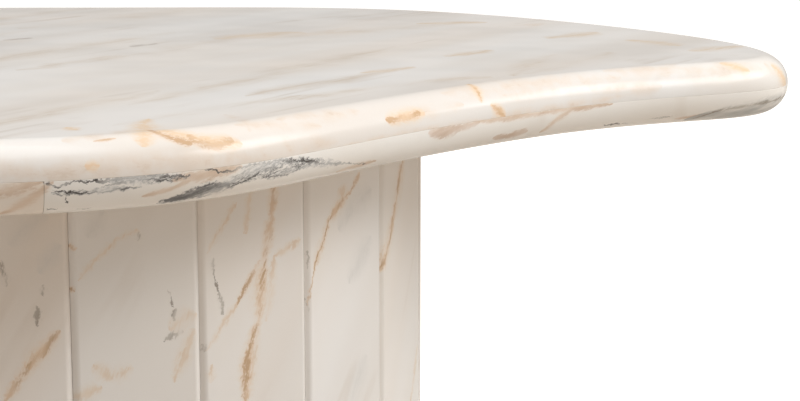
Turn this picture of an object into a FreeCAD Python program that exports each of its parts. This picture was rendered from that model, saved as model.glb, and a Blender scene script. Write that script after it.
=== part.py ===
import FreeCAD, Part
import math
import os

# A coffee table of polished marble. A pebble-shaped top with a full round edge lies on an oval
# drum of upright marble staves, and the staves are bonded round a plywood and timber carcass.
# Millimetres, +Z up, the floor at Z = 0 and the origin under the middle of the top.

# The whole table
top_length = 1250.0
top_width = 825.0
table_height = 400.0

# The top: one slab, with strips bonded under its rim so that the edge looks twice as thick
slab_thickness = 20.0
strip_thickness = 20.0
strip_width = 70.0
seam_land = 0.5
board_gap = 2.0

# The rim is a smooth closed curve inside these corners, anticlockwise from the front,
# in shares of half the length and half the width
rim_shares = (
    (0.069, -1.058),
    (0.390, -0.943),
    (0.504, -0.676),
    (0.750, -0.227),
    (0.967, -0.115),
    (1.016, 0.030),
    (0.967, 0.365),
    (0.598, 1.028),
    (0.205, 0.989),
    (-0.306, 0.989),
    (-0.857, 0.879),
    (-1.073, 0.192),
    (-0.849, -0.472),
    (-0.354, -0.760),
)

# Where neighbouring strips meet, in shares of the way round the rim
strip_cut_shares = (0.330, 0.420, 0.510, 0.600, 0.690, 0.780, 0.870, 0.974)

# The base: upright staves round an oval, with their outer edges rounded over
base_length = 730.0
base_depth = 610.0
stave_count = 26
stave_thickness = 20.0
stave_edge_radius = 4.5
floor_gap = 8.0

# How far past the right end of the oval the first joint falls, as a share of one stave
first_joint_share = 0.46

# The carcass: three plywood formers on timber posts, held with countersunk screws
former_thickness = 18.0
post_count = 6
post_side = 45.0
post_clearance = 0.5
post_ring_share = 0.70
screw_length = 60.0
screw_radius = 2.5
screw_head_radius = 5.0
screw_head_height = 3.0
screw_tip_length = 6.0
bond_gap = 0.1

# Between base and top: soft bumpers, and two pins that keep the top from sliding
bumper_count = 8
bumper_radius = 12.0
bumper_height = 3.0
bumper_ring_share = 0.85
pin_spacing = 400.0
pin_radius = 5.0
pin_seat_depth = 14.0
pin_reach = 12.0
pin_clearance = 0.3
socket_spare = 1.0

# Levelling feet, shown screwed right in
foot_count = 4
foot_ring_share = 0.80
pad_radius = 25.0
pad_height = 14.0
pad_rim_height = 7.0
pad_chamfer = 1.5
boss_radius = 15.0
stud_radius = 5.0
stud_spare = 16.0
hex_across_corners = 19.0
hex_height = 8.0
insert_radius = 7.0
insert_length = 14.0
insert_flange_radius = 14.0
insert_flange_thickness = 2.0
thread_clearance = 0.3

# Heights that follow from the sizes above
seam_z = table_height - slab_thickness
underside_z = seam_z - strip_thickness
base_top_z = underside_z - bumper_height
top_former_z = base_top_z - former_thickness
bottom_former_z = pad_height
carcass_floor_z = bottom_former_z + former_thickness
middle_former_z = (carcass_floor_z + top_former_z - former_thickness) / 2

UP = FreeCAD.Vector(0, 0, 1)
DOWN = FreeCAD.Vector(0, 0, -1)


def at(place, height):
    """The point over a place in plan, at a height."""
    return FreeCAD.Vector(place.x, place.y, height)


def disc(place, radius, bottom, top):
    """An upright cylinder between two heights."""
    return Part.makeCylinder(radius, top - bottom, at(place, bottom), UP)


def prism(corners, bottom, top):
    """A straight-sided block over a polygon, between two heights."""
    points = [at(corner, bottom) for corner in corners]
    face = Part.Face(Part.makePolygon(points + points[:1]))
    return face.extrude(UP * (top - bottom))


def ring_places(count, ring_share, turn_share):
    """Places spread evenly by angle on an oval that is a share of the base's own oval."""
    places = []
    for k in range(count):
        angle = math.tau * (k + turn_share) / count
        across = ring_share * base_length / 2 * math.cos(angle)
        back = ring_share * base_depth / 2 * math.sin(angle)
        places.append(FreeCAD.Vector(across, back, 0))
    return places


def regular_corners(place, count, radius, turn_share):
    """The corners of a regular polygon round a place."""
    corners = []
    for k in range(count):
        angle = math.tau * (k + turn_share) / count
        corners.append(place + FreeCAD.Vector(math.cos(angle), math.sin(angle), 0) * radius)
    return corners


# The top

def rim_curve(inset, height):
    """The smooth closed rim, drawn in from each end and each side by an inset."""
    half_length = top_length / 2 - inset
    half_width = top_width / 2 - inset
    poles = [FreeCAD.Vector(x * half_length, y * half_width, height) for x, y in rim_shares]
    curve = Part.BSplineCurve()
    curve.buildFromPoles(poles, True)
    return curve


def plate(edges, thickness):
    """A flat plate of a thickness, on a closed loop of edges."""
    return Part.Face(Part.Wire(edges)).extrude(UP * thickness)


def rounded(block, guide, radius):
    """Rounds off the edges of a block that lie on a guide, which is a curve or several lines."""
    on_guide = []
    for edge in block.Edges:
        middle = edge.valueAt((edge.FirstParameter + edge.LastParameter) / 2)
        if guide.distToShape(Part.Vertex(middle))[0] < bond_gap:
            on_guide.append(edge)
    return block.makeFillet(radius, on_guide).Solids[0]


def top_slab():
    """The slab, its upper edge rounded down to a narrow land above the seam."""
    slab = plate([rim_curve(0, seam_z).toShape()], slab_thickness)
    return rounded(slab, rim_curve(0, table_height).toShape(), slab_thickness - seam_land)


def edge_strip(start_share, end_share):
    """One strip under the rim between two cuts, its lower edge rounded up to the seam."""
    outer = rim_curve(0, underside_z)
    inner = rim_curve(strip_width, underside_z)
    rim = outer.toShape(start_share, end_share)
    loop = [rim, inner.toShape(start_share, end_share)]
    loop += [Part.makeLine(outer.value(share), inner.value(share)) for share in (start_share, end_share)]
    strip = plate(Part.sortEdges(loop)[0], strip_thickness)
    return rounded(strip, rim, strip_thickness - seam_land)


def edge_strips():
    """All the strips, each from its own cut to the next one round."""
    ends = strip_cut_shares[1:] + (strip_cut_shares[0] + 1,)
    return [edge_strip(start, end) for start, end in zip(strip_cut_shares, ends)]


def backing_board():
    """The board that fills the hollow inside the strips, with a socket over each pin."""
    board = plate([rim_curve(strip_width + board_gap, underside_z).toShape()], strip_thickness)
    for place in pin_places():
        socket_top = base_top_z + bumper_height + pin_reach + socket_spare
        board = board.cut(disc(place, pin_radius + pin_clearance, underside_z, socket_top))
    return board


# The staves of the base

def joint_corners():
    """The outer corners of the base: points at equal distances along its oval."""
    stretch = FreeCAD.Matrix()
    stretch.scale(base_length / 2, base_depth / 2, 1)
    oval = Part.makeCircle(1).transformGeometry(stretch).Edges[0]
    pitch = oval.Length / stave_count
    lengths = [pitch * (k + first_joint_share) for k in range(stave_count)]
    return [oval.valueAt(oval.getParameterByLength(length)) for length in lengths]


def drawn_in(corners, depth):
    """The same polygon with every side moved inwards by a depth."""
    inner = []
    for k, corner in enumerate(corners):
        before = (corner - corners[k - 1]).normalize()
        after = (corners[(k + 1) % len(corners)] - corner).normalize()
        half_turn_cosine = (before + after).Length / 2
        inner.append(corner + (after - before).normalize() * (depth / half_turn_cosine))
    return inner


def stave(outer, inner, k):
    """One stave: mitred sides, and the two outer edges rounded over, so that each joint is a groove."""
    left, right = outer[k], outer[(k + 1) % stave_count]
    back_left, back_right = inner[k], inner[(k + 1) % stave_count]
    block = prism([left, right, back_right, back_left], floor_gap, base_top_z)
    uprights = [Part.makeLine(at(corner, floor_gap), at(corner, base_top_z)) for corner in (left, right)]
    return rounded(block, Part.makeCompound(uprights), stave_edge_radius)


# The carcass

def screw(place, head_z, way, slack):
    """A countersunk screw driven one way from its head, or its hole when given some slack."""
    start = at(place, head_z)
    neck = start + way * screw_head_height
    tip_start = start + way * (screw_length - screw_tip_length)
    head_radius = screw_head_radius + slack
    shank_radius = screw_radius + slack
    shank_length = screw_length - screw_head_height - screw_tip_length
    head = Part.makeCone(head_radius, shank_radius, screw_head_height, start, way)
    shank = Part.makeCylinder(shank_radius, shank_length, neck, way)
    tip = Part.makeCone(shank_radius, slack, screw_tip_length + slack, tip_start, way)
    return head.fuse([shank, tip]).removeSplitter()


def post_places():
    return ring_places(post_count, post_ring_share, 0)


def screws(slack):
    """One screw down through the top former and one up through the bottom former per post."""
    driven = [screw(place, base_top_z, DOWN, slack) for place in post_places()]
    driven += [screw(place, bottom_former_z, UP, slack) for place in post_places()]
    return driven


def post_corners(place, side):
    return regular_corners(place, 4, side * math.sqrt(0.5), 0.5)


def post(place):
    """A square timber post between the bottom and top formers, with its pilot holes."""
    block = prism(post_corners(place, post_side), carcass_floor_z, top_former_z)
    return block.cut(screws(bond_gap))


def pin_places():
    return [FreeCAD.Vector(side * pin_spacing / 2, 0, 0) for side in (-1, 1)]


def foot_places():
    return ring_places(foot_count, foot_ring_share, 0.5)


def top_former(plan):
    """The upper former, with screw holes and blind seats for the pins."""
    board = prism(plan, top_former_z, base_top_z).cut(screws(bond_gap))
    seat_z = base_top_z - pin_seat_depth
    return board.cut([disc(place, pin_radius + bond_gap, seat_z, base_top_z) for place in pin_places()])


def middle_former(plan):
    """The middle former, which the posts pass through."""
    top = middle_former_z + former_thickness
    board = prism(plan, middle_former_z, top)
    mortise_side = post_side + 2 * post_clearance
    return board.cut([prism(post_corners(p, mortise_side), middle_former_z, top) for p in post_places()])


def bottom_former(plan):
    """The lower former, with screw holes and a hole for each foot's threaded insert."""
    board = prism(plan, bottom_former_z, carcass_floor_z).cut(screws(bond_gap))
    hole_radius = insert_radius + bond_gap
    return board.cut([disc(p, hole_radius, bottom_former_z, carcass_floor_z) for p in foot_places()])


# What lies between base and top

def bumpers():
    places = ring_places(bumper_count, bumper_ring_share, 0.5)
    return [disc(place, bumper_radius, base_top_z, underside_z) for place in places]


def pins():
    bottom = base_top_z - pin_seat_depth
    top = underside_z + pin_reach
    return [disc(place, pin_radius, bottom, top) for place in pin_places()]


# The feet

def insert(place):
    """A flanged threaded insert, let into the bottom former from above."""
    flange_top = carcass_floor_z + insert_flange_thickness
    barrel = disc(place, insert_radius, carcass_floor_z - insert_length, flange_top)
    flange = disc(place, insert_flange_radius, carcass_floor_z, flange_top)
    bore = disc(place, stud_radius + thread_clearance, bottom_former_z, flange_top)
    return barrel.fuse(flange).removeSplitter().cut(bore)


def hex_head(place):
    corners = regular_corners(place, 6, hex_across_corners / 2, 0)
    return prism(corners, pad_height - hex_height, pad_height)


def foot_stud(place):
    """The threaded stud on its hexagon head, which the pad is moulded round."""
    top = carcass_floor_z + insert_flange_thickness + stud_spare
    return hex_head(place).fuse(disc(place, stud_radius, pad_height, top)).removeSplitter()


def foot_pad(place):
    """The pad: a chamfered disc on the floor and a boss that stops against the former."""
    rim = disc(place, pad_radius, 0, pad_rim_height)
    rim = rim.makeChamfer(pad_chamfer, rim.Edges)
    boss = disc(place, boss_radius, 0, pad_height)
    return rim.fuse(boss).removeSplitter().cut(hex_head(place))


def save(name, shape):
    shape.exportStep(os.path.join("parts", name + ".step"))


os.makedirs("parts", exist_ok=True)

save("top_slab", top_slab())
save("backing_board", backing_board())
for number, strip in enumerate(edge_strips(), 1):
    save(f"edge_strip_{number}", strip)

outer_corners = joint_corners()
inner_corners = drawn_in(outer_corners, stave_thickness)
for number in range(stave_count):
    save(f"stave_{number + 1:02d}", stave(outer_corners, inner_corners, number))

save("top_former", top_former(inner_corners))
save("middle_former", middle_former(inner_corners))
save("bottom_former", bottom_former(inner_corners))
for number, place in enumerate(post_places(), 1):
    save(f"core_post_{number}", post(place))
save("carcass_screws", Part.makeCompound(screws(0)))

save("top_bumpers", Part.makeCompound(bumpers()))
save("locating_pins", Part.makeCompound(pins()))

save("foot_inserts", Part.makeCompound([insert(place) for place in foot_places()]))
for number, place in enumerate(foot_places(), 1):
    save(f"foot_stud_{number}", foot_stud(place))
    save(f"foot_pad_{number}", foot_pad(place))
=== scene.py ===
# %% [markdown]
# # A marble coffee table
# A pebble-shaped top of polished marble lies on an oval drum of upright marble staves. The joiner's
# solids are loaded first, as a fixed frame in metres, with Z up and the floor at zero. The stone is
# what the eye meets, so it is made again here with softened edges and its own veins, while the
# carcass, screws and feet keep their solids and only get a finish.

# %% Load the frame
import math

import bpy
import numpy as np
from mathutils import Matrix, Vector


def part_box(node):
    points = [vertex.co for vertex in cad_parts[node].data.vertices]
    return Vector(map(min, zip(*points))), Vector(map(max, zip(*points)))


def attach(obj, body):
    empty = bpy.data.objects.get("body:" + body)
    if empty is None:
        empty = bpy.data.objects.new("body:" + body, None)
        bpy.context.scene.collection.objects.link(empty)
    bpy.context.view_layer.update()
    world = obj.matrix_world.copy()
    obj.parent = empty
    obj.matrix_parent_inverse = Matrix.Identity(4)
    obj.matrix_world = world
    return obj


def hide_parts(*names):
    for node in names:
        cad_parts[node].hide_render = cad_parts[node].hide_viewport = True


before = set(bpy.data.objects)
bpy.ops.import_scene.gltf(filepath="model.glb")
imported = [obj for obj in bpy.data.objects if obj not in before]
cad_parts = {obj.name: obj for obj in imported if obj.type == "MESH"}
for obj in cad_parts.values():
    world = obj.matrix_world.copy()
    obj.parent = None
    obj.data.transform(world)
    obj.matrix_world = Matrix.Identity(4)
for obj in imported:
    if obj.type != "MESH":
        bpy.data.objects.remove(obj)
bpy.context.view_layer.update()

# %% [markdown]
# ## The camera
# The table is seen from close by, from a little above the top, so the tip of the top reaches
# away to the right and the left side runs out of the picture. The eye, the tilt and the lens are
# set as plain numbers: a constraint that aims the camera would be harder to read back.

# %% Camera
EYE = (0.347, -1.411, 0.557)
LOOK_DOWN = math.radians(10.49)
LENS_MM = 90.0
FILM_MM = 36.0

lens = bpy.data.cameras.new("camera")
lens.lens = LENS_MM
lens.sensor_width = FILM_MM
lens.sensor_fit = "HORIZONTAL"
camera = bpy.data.objects.new("camera", lens)
camera.location = EYE
camera.rotation_euler = (math.pi / 2 - LOOK_DOWN, 0, 0)
bpy.context.scene.collection.objects.link(camera)
bpy.context.scene.camera = camera
print("camera at", EYE, "tilted down", math.degrees(LOOK_DOWN), "degrees")

# %% [markdown]
# ## Mesh helpers
# Every stone surface below is a grid of points: one direction runs round or along the piece, the
# other follows its section. Numpy works out all the points of a grid at once, and these helpers
# turn a grid into faces and a mesh.

# %% Grid to mesh
SHARP_ANGLE = math.radians(34)


def grid_quads(rows, columns, wraps):
    """Four point numbers per face, joining each point of a grid to the next row and column."""
    last = columns if wraps else columns - 1
    row, column = np.meshgrid(np.arange(rows - 1), np.arange(last), indexing="ij")
    after = (column + 1) % columns
    corners = (row * columns + column, (row + 1) * columns + column,
               (row + 1) * columns + after, row * columns + after)
    return np.stack(corners, axis=-1).reshape(-1, 4)


def make_piece(name, points, faces):
    """A smooth-shaded object from points and faces, with its real corners kept sharp."""
    mesh = bpy.data.meshes.new(name)
    mesh.from_pydata(points.reshape(-1, 3).tolist(), [], faces)
    mesh.shade_smooth()
    mesh.set_sharp_from_angle(angle=SHARP_ANGLE)
    piece = bpy.data.objects.new(name, mesh)
    bpy.context.scene.collection.objects.link(piece)
    return piece


def give_vectors(piece, name, vectors):
    """Stores a vector on every point, for the material to read by name."""
    layer = piece.data.attributes.new(name, "FLOAT_VECTOR", "POINT")
    layer.data.foreach_set("vector", np.ascontiguousarray(vectors, dtype=np.float32).ravel())


def give_edge_map(piece, corner_places):
    """Stores a flat place, in metres, on every face corner as the UV map called edge."""
    layer = piece.data.uv_layers.new(name="edge")
    layer.uv.foreach_set("vector", np.ascontiguousarray(corner_places, dtype=np.float32).ravel())


print("corners that turn more than", round(math.degrees(SHARP_ANGLE)), "degrees stay sharp")

# %% [markdown]
# ## The rim
# The outline of the top is one smooth closed curve. A uniform cubic B-spline needs only the
# corners of a loose polygon round it, given here as shares of half the length and half the width,
# and it has no kinks for the polish to show up.

# %% Rim curve
TOP_LENGTH = 1.250
TOP_WIDTH = 0.825
RIM_SHARES = np.array((
    (0.069, -1.058), (0.390, -0.943), (0.504, -0.676), (0.750, -0.227), (0.967, -0.115),
    (1.016, 0.030), (0.967, 0.365), (0.598, 1.028), (0.205, 0.989), (-0.306, 0.989),
    (-0.857, 0.879), (-1.073, 0.192), (-0.849, -0.472), (-0.354, -0.760),
))
STRIP_CUT_SHARES = (0.330, 0.420, 0.510, 0.600, 0.690, 0.780, 0.870, 0.974)
RIM_FINE_STEPS = 20000


def rim(share, inset=0.0):
    """Points and outward directions at shares of the way round the rim, drawn in by an inset.

    Between two knots a point is the sum of four neighbouring corners, each times a cubic weight in
    the share of the way from knot to knot. The direction is the derivative, turned a right angle.
    """
    poles = RIM_SHARES * (TOP_LENGTH / 2 - inset, TOP_WIDTH / 2 - inset)
    steps = np.mod(share, 1.0) * len(poles)
    first = np.floor(steps).astype(int)
    t = (steps - first)[..., None]
    near = [poles[(first + k) % len(poles)] for k in range(4)]
    weights = ((1 - t) ** 3, 3 * t**3 - 6 * t**2 + 4, -3 * t**3 + 3 * t**2 + 3 * t + 1, t**3)
    slopes = (-(1 - t) ** 2, 3 * t**2 - 4 * t, -3 * t**2 + 2 * t + 1, t**2)
    point = sum(w * p for w, p in zip(weights, near)) / 6
    along = sum(w * p for w, p in zip(slopes, near))
    outward = np.stack((along[..., 1], -along[..., 0]), axis=-1)
    return point, outward / np.linalg.norm(outward, axis=-1, keepdims=True)


def walk_along(points):
    """Distance walked along a line of close points, from the first of them to each."""
    steps = np.linalg.norm(np.diff(points, axis=0), axis=1)
    return np.concatenate(([0.0], np.cumsum(steps)))


fine_shares = STRIP_CUT_SHARES[0] + np.linspace(0, 1, RIM_FINE_STEPS + 1)
fine_lengths = walk_along(rim(fine_shares)[0])
RIM_LENGTH = fine_lengths[-1]
print(f"rim: {RIM_LENGTH:.3f} m round, from the first cut between strips")

# %% [markdown]
# ## The slab
# The real top is one 20 mm slab whose upper edge is ground to a quarter round, down to the seam with
# the strips below. Filleting a flat plate would do, but a polished edge shows every facet, so the
# slab is one closed grid: round the rim in one direction, and in the other from the middle of the
# upper face, over the edge and back to the middle of the lower face.

# %% Quarter round
slab_low, slab_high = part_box("top_slab")
SEAM_Z = slab_low.z
TOP_Z = slab_high.z
SEAM_LAND = 0.0005
SEAM_BREAK = 0.00025
ROUND_RADIUS = TOP_Z - SEAM_Z - SEAM_LAND
ROUND_LENGTH = SEAM_LAND + ROUND_RADIUS * math.pi / 2
ROUND_STEPS = 18
SLAB_COLUMNS = 800
SLAB_MIDDLE = (0.1, 0.02)
FLAT_INSETS = np.array((0.0004, 0.006, 0.014, 0.024))
SLAB_RING_SHARES = np.linspace(0.95, 0.05, 14)

round_angles = np.linspace(math.pi / 2, 0, ROUND_STEPS + 1)
round_insets = ROUND_RADIUS * (1 - np.cos(round_angles))
round_rises = SEAM_LAND + ROUND_RADIUS * np.sin(round_angles)
round_walks = SEAM_LAND + ROUND_RADIUS * round_angles


def set_in(line, outward, insets, heights):
    """A grid with one row per inset and height: a line of points moved straight inwards and lifted."""
    plan = line[None] - outward[None] * insets[:, None, None]
    lift = np.broadcast_to(heights[:, None, None], plan.shape[:2] + (1,))
    return np.concatenate((plan, lift), axis=-1)


def rings_to_middle(ring, shares):
    """Copies of a closed ring, each shrunk towards the middle of the slab to a share of its size."""
    middle = np.array((*SLAB_MIDDLE, ring[0, 2]))
    return middle + (ring - middle)[None] * shares[:, None, None]


print(f"quarter round: {ROUND_LENGTH * 1000:.1f} mm from the seam to the flat")

# %% Slab
def slab_fans(rows):
    """Triangles that close the faces above and below, each round its own middle point."""
    ring = np.arange(SLAB_COLUMNS)
    after = (ring + 1) % SLAB_COLUMNS
    last = (rows - 1) * SLAB_COLUMNS
    middle = np.full_like(ring, rows * SLAB_COLUMNS)
    upper = np.stack((middle, ring, after), axis=-1)
    lower = np.stack((middle + 1, last + after, last + ring), axis=-1)
    return np.concatenate((upper, lower))


def slab_places(lengths, above, edge, below):
    """Places for the edge map: the way along the rim, and the walk from the seam up and inwards."""
    walk_in = np.linalg.norm(above - edge[0], axis=-1)
    edge_walks = np.concatenate((ROUND_LENGTH + FLAT_INSETS[::-1], round_walks, (SEAM_BREAK, 0)))
    walks = np.concatenate((edge_walks[0] + walk_in, np.tile(edge_walks[:, None], SLAB_COLUMNS),
                            np.zeros(below.shape[:2])))
    walks = np.concatenate((walks, walks[:, :1]), axis=1)
    return np.stack(np.broadcast_arrays(lengths[None], walks), axis=-1).reshape(-1, 2)


def build_slab():
    """The closed slab: a face of shrinking rings, the quarter round, the seam and a face below."""
    lengths = np.linspace(0, RIM_LENGTH, SLAB_COLUMNS + 1)
    share = np.interp(lengths, fine_lengths, fine_shares)[:-1]
    insets = np.concatenate((ROUND_RADIUS + FLAT_INSETS[::-1], round_insets, (0, SEAM_BREAK)))
    flat_rises = np.full(len(FLAT_INSETS), TOP_Z - SEAM_Z)
    rises = np.concatenate((flat_rises, round_rises, (SEAM_BREAK, 0)))
    edge = set_in(*rim(share), insets, SEAM_Z + rises)
    above = rings_to_middle(edge[0], SLAB_RING_SHARES[::-1])
    below = rings_to_middle(edge[-1], SLAB_RING_SHARES)
    grid = np.concatenate((above, edge, below))
    middles = np.array(((*SLAB_MIDDLE, TOP_Z), (*SLAB_MIDDLE, SEAM_Z)))
    points = np.concatenate((grid.reshape(-1, 3), middles))
    quads = grid_quads(len(grid), SLAB_COLUMNS, wraps=True)
    fans = slab_fans(len(grid))
    piece = make_piece("marble_slab", points, quads.tolist() + fans.tolist())

    places = slab_places(lengths, above, edge, below)
    place_quads = grid_quads(len(grid), SLAB_COLUMNS + 1, wraps=False)
    fan_places = np.tile(places[0], (fans.size, 1))
    give_edge_map(piece, np.concatenate((places[place_quads.ravel()], fan_places)))
    give_vectors(piece, "block", points)
    return piece


slab = build_slab()
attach(slab, "top")
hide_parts("top_slab")
print("slab:", len(slab.data.polygons), "faces")

# %% [markdown]
# ## The strips under the rim
# Strips sawn from the same slabs are bonded under the rim and ground to the other quarter round, so
# the edge reads as one thick bullnose with a hairline seam. One ring all round would be simpler, but
# it would have no joints. So each strip is a closed section carried along its stretch of the rim, and
# the last ring at each end is drawn in a little: two strips meet in a hairline, as real blocks do.

# %% Strip section
STRIP_WIDTH = 0.070
STRIP_STEP = 0.003
FLAT_STEPS = 6
UNDERSIDE_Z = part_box("edge_strip_1")[0].z
STRIP_RISE = SEAM_Z - UNDERSIDE_Z


def strip_stations(start, end):
    """Shares of the rim where the section is set: even steps, and one more just inside each end."""
    steps = int((end - start) * RIM_LENGTH / STRIP_STEP)
    even = np.linspace(start, end, steps + 1)
    inside = SEAM_BREAK / RIM_LENGTH
    return np.concatenate((even[:1], even[:1] + inside, even[1:-1], even[-1:] - inside, even[-1:]))


def strip_section(width, slant):
    """Reach across the strip, drop below the seam and walk from the seam, for a section per station.

    The section runs from the seam, down the quarter round and over the flat to the inner side. A
    point at an inset from the rim is reached after the inset divided by the slant, the cosine
    between the line across the strip and the way straight inwards.
    """
    angles = np.linspace(0, math.pi / 2, ROUND_STEPS + 1)
    insets = np.concatenate(((SEAM_BREAK, 0), ROUND_RADIUS * (1 - np.cos(angles))))
    drops = np.concatenate(((0, SEAM_BREAK), SEAM_LAND + ROUND_RADIUS * np.sin(angles),
                            np.full(FLAT_STEPS, STRIP_RISE), (0,)))
    walks = np.concatenate(((0, SEAM_BREAK), SEAM_LAND + ROUND_RADIUS * angles))
    stations = len(width)
    edge_reach = insets[None] / slant[:, None]
    flat_shares = np.linspace(0, 1, FLAT_STEPS + 1)[1:]
    flat_reach = edge_reach[:, -1:] + (width[:, None] - edge_reach[:, -1:]) * flat_shares
    reach = np.concatenate((edge_reach, flat_reach, flat_reach[:, -1:]), axis=1)
    flat_walk = walks[-1] + flat_reach - edge_reach[:, -1:]
    walk = np.concatenate((np.tile(walks, (stations, 1)), flat_walk, np.zeros((stations, 1))), axis=1)
    return reach, np.tile(drops, (stations, 1)), walk


def draw_in_ends(width, reach, drop):
    """Shrinks the first and the last ring towards the middle of the section, by the seam's break."""
    ends = [0, -1]
    middle = width[ends, None] / 2
    shrink = 1 - 2 * SEAM_BREAK / STRIP_RISE
    drop[ends] = STRIP_RISE / 2 + (drop[ends] - STRIP_RISE / 2) * shrink
    reach[ends] = middle + (reach[ends] - middle) * (1 - SEAM_BREAK / middle)


print(f"strip section: {STRIP_WIDTH:.3f} m wide and {STRIP_RISE:.3f} m high")

# %% Strips
BLOCK_TURN = 0.7
BLOCK_STEP = np.array((1.7, 0.9, 0.0))
BLOCK_START = np.array((0.0, 0.0, 0.3))


def tube_faces(rows, columns):
    """Faces of a closed tube with a ring of points per row: its sides, and a cap at either end."""
    sides = grid_quads(rows, columns, wraps=True)[:, ::-1]
    first_cap = list(range(columns))[::-1]
    last_cap = list(range((rows - 1) * columns, rows * columns))
    return sides.tolist() + [first_cap, last_cap]


def turned(points, angle):
    """Points turned about the upright axis: x cos - y sin, x sin + y cos, and z as it is."""
    x, y, z = points.T
    cosine, sine = math.cos(angle), math.sin(angle)
    return np.stack((x * cosine - y * sine, x * sine + y * cosine, z), axis=-1)


def build_strip(number, start, end):
    """One strip from cut to cut: the section's points lie on the straight line across the strip.

    Its place in the block turns and moves on from strip to strip, so that no two strips match.
    """
    along = strip_stations(start, end)
    outer, outward = rim(along)
    inner, _ = rim(along, STRIP_WIDTH)
    width = np.linalg.norm(inner - outer, axis=-1)
    across = (inner - outer) / width[:, None]
    reach, drop, walk = strip_section(width, -(across * outward).sum(axis=-1))
    draw_in_ends(width, reach, drop)
    plan = outer[:, None] + across[:, None] * reach[..., None]
    points = np.concatenate((plan, SEAM_Z - drop[..., None]), axis=-1)
    faces = tube_faces(*reach.shape)
    piece = make_piece(f"marble_strip_{number}", points, faces)

    lengths = np.interp(along, fine_shares, fine_lengths)
    places = np.stack(np.broadcast_arrays(lengths[:, None], -walk), axis=-1).reshape(-1, 2)
    give_edge_map(piece, places[np.concatenate(faces)])
    in_block = turned(points.reshape(-1, 3), BLOCK_TURN * number)
    give_vectors(piece, "block", in_block + BLOCK_START + BLOCK_STEP * number)
    return piece


strip_ends = STRIP_CUT_SHARES[1:] + (STRIP_CUT_SHARES[0] + 1,)
strips = []
for number, (start, end) in enumerate(zip(STRIP_CUT_SHARES, strip_ends), 1):
    strip = build_strip(number, start, end)
    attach(strip, "top")
    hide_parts(f"edge_strip_{number}")
    strips.append(strip)
print("strips:", len(strips), "with", sum(len(strip.data.polygons) for strip in strips), "faces")

# %% [markdown]
# ## The staves of the base
# Twenty-six mitred staves stand round an oval, their outer edges rounded over, so that each joint is
# a soft groove, and stone glue fills it up to where the rounds turn half away. A box with a bevel
# modifier would come close, but its bevels could not follow the mitres, so each stave is its plan,
# with every corner turned into an arc, carried straight up. The joints lie at equal distances along
# the oval, which has no formula for its length, so they are looked up in a table of fine steps.

# %% Joints of the base
BASE_LENGTH = 0.730
BASE_DEPTH = 0.610
STAVE_COUNT = 26
STAVE_THICKNESS = 0.020
FIRST_JOINT_SHARE = 0.46
OVAL_FINE_STEPS = 200000


def on_oval(angle):
    """Points of the base's oval at angles from its right end."""
    return np.stack((np.cos(angle) * BASE_LENGTH / 2, np.sin(angle) * BASE_DEPTH / 2), axis=-1)


def joint_corners():
    """Outer corners of the base: places at equal walks along the oval, from its right end."""
    angle = np.linspace(0, math.tau, OVAL_FINE_STEPS + 1)
    walked = walk_along(on_oval(angle))
    wanted = (np.arange(STAVE_COUNT) + FIRST_JOINT_SHARE) * walked[-1] / STAVE_COUNT
    return on_oval(np.interp(wanted, walked, angle))


def unit(vectors):
    """Vectors of the same directions, one long."""
    return vectors / np.linalg.norm(vectors, axis=-1, keepdims=True)


def side_ways(corners):
    """Directions of a polygon's sides, into each corner and out of it."""
    before = unit(corners - np.roll(corners, 1, axis=0))
    after = unit(np.roll(corners, -1, axis=0) - corners)
    return before, after


def drawn_in(corners, depth):
    """The same polygon with each side moved inwards: every corner slides along its mitre."""
    before, after = side_ways(corners)
    half_turn_cosine = np.linalg.norm(before + after, axis=-1, keepdims=True) / 2
    return corners + unit(after - before) * depth / half_turn_cosine


outer_corners = joint_corners()
inner_corners = drawn_in(outer_corners, STAVE_THICKNESS)
print(f"first stave: {np.linalg.norm(outer_corners[1] - outer_corners[0]):.4f} m wide")

# %% Staves
STAVE_EDGE_RADIUS = 0.0045
EASE = 0.0012
STAVE_RADII = np.array((STAVE_EDGE_RADIUS, STAVE_EDGE_RADIUS, EASE, EASE))
GLUED_SIDES = np.array((1, -1, 0, 0))
GLUE_SLOPE = math.radians(45)
ARC_STEPS = 15
BENCH_STEP = 0.25
stave_low, stave_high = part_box("stave_01")


def eased(corners, radii, glued_sides):
    """A polygon with every corner turned into a tangent arc: one closed loop, and the ways outward.

    An arc's centre lies inwards along its corner's bisector, at the radius over the cosine of half
    the turn, and the arc sweeps from one side's outward direction to the next one's. Where a corner
    has glue against its first side, 1, or its last, -1, the arc leaves off at the slope of the glue
    and goes straight on to that side: the line and the side are both the radius over a cosine.
    """
    before, after = side_ways(corners)
    turn = np.arccos(np.clip((before * after).sum(axis=-1), -1, 1))
    centre = corners + unit(after - before) * (radii / np.cos(turn / 2))[:, None]
    start = np.arctan2(-before[:, 0], before[:, 1])
    swept = turn[:, None] * np.linspace(0, 1, ARC_STEPS)
    outward = np.stack((np.cos(start[:, None] + swept), np.sin(start[:, None] + swept)), axis=-1)
    to_side = np.where(glued_sides[:, None] > 0, swept, turn[:, None] - swept)
    past_slope = np.maximum(turn[:, None] - GLUE_SLOPE - to_side, 0)
    filled = 1 / np.maximum(np.cos(past_slope), np.cos(to_side))
    reach = radii[:, None] * np.where(glued_sides[:, None] == 0, 1, filled)
    arcs = centre[:, None] + reach[..., None] * outward
    return arcs.reshape(-1, 2), outward.reshape(-1, 2)


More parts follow.
